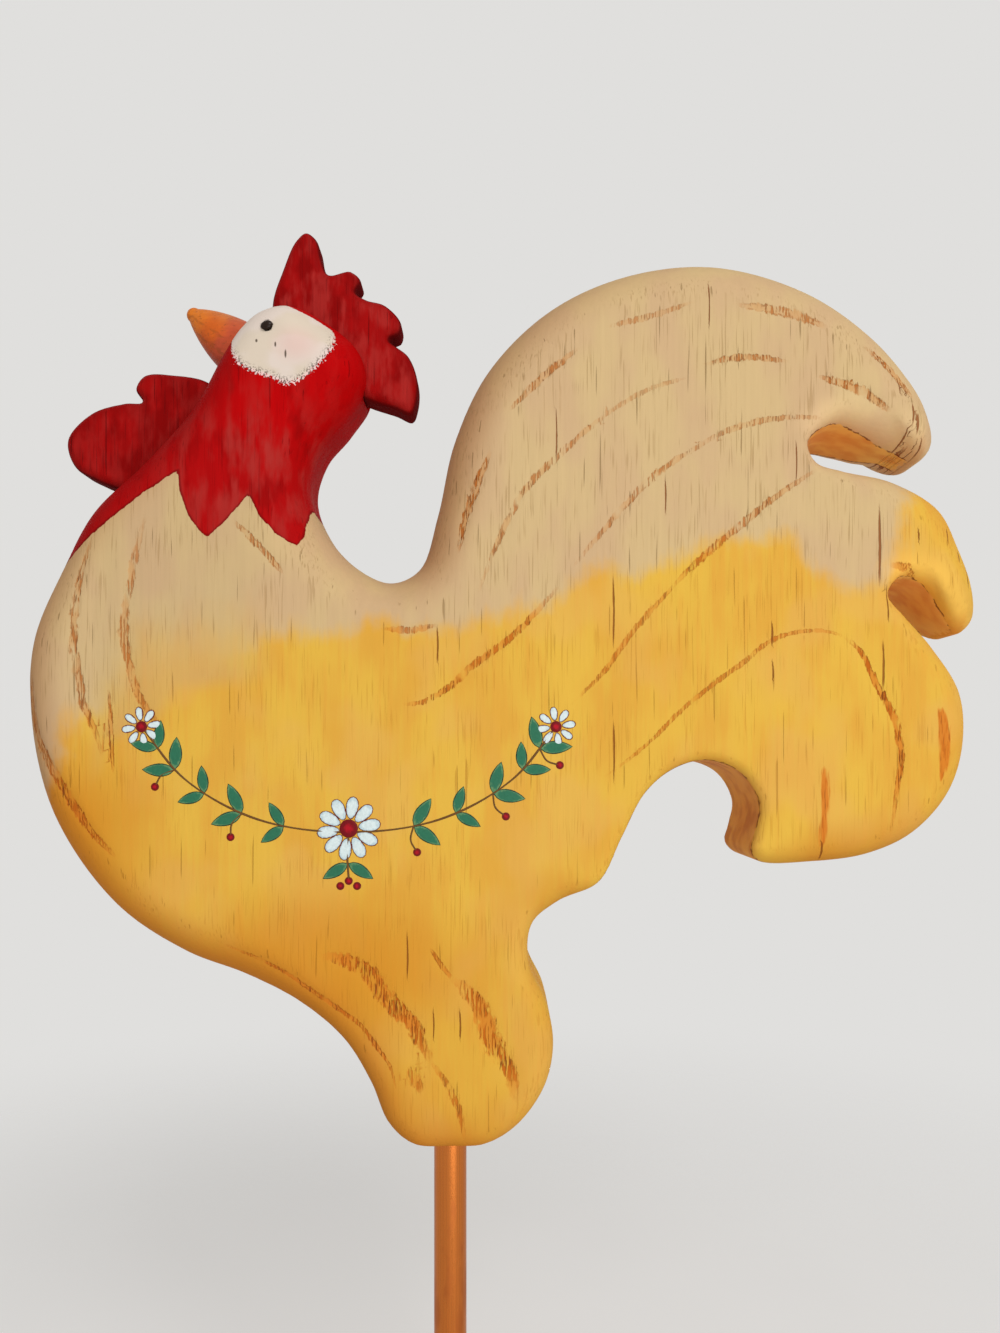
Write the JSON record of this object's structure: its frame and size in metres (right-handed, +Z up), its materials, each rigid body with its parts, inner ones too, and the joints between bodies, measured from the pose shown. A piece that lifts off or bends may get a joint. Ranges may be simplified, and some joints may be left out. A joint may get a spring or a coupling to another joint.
{
  "type": "rooster figurine",
  "caption": "Painted wooden rooster sawn from a thick board, with let-in comb and wattle, on a metal rod that turns in a round wooden base.",
  "frame": {"origin": "middle of the base's underside, on the rod's axis", "axes": "+Z up the rod, the rooster looks along -X and its painted face that the picture shows looks along -Y"},
  "size_m": [0.2698, 0.14, 0.4028],
  "materials": {
    "body_paint": "aged paint over open grain, satin varnish",
    "comb_paint": "dark red paint, satin varnish",
    "wattle_paint": "red paint, satin varnish",
    "beak_paint": "orange paint, satin varnish",
    "dowel_wood": "bare birch",
    "bead": "polished bead",
    "rod_metal": "copper-coloured, bright drawn",
    "base_paint": "aged ochre paint, satin varnish"
  },
  "bodies": {
    "stand": {"base": "base_paint"},
    "figure": {"carved_body": "body_paint", "comb": "comb_paint", "comb_front_dowel": "dowel_wood", "comb_rear_dowel": "dowel_wood", "wattle": "wattle_paint", "wattle_upper_dowel": "dowel_wood", "wattle_lower_dowel": "dowel_wood", "beak": "beak_paint", "beak_dowel": "dowel_wood", "left_eye": "bead", "right_eye": "bead", "rod": "rod_metal"}
  },
  "joints": [
    {"name": "figure_turn", "type": "hinge", "parent": "stand", "child": "figure", "pos_m": [0, 0, 0.022], "axis": [0, 0, 1], "continuous": true}
  ]
}
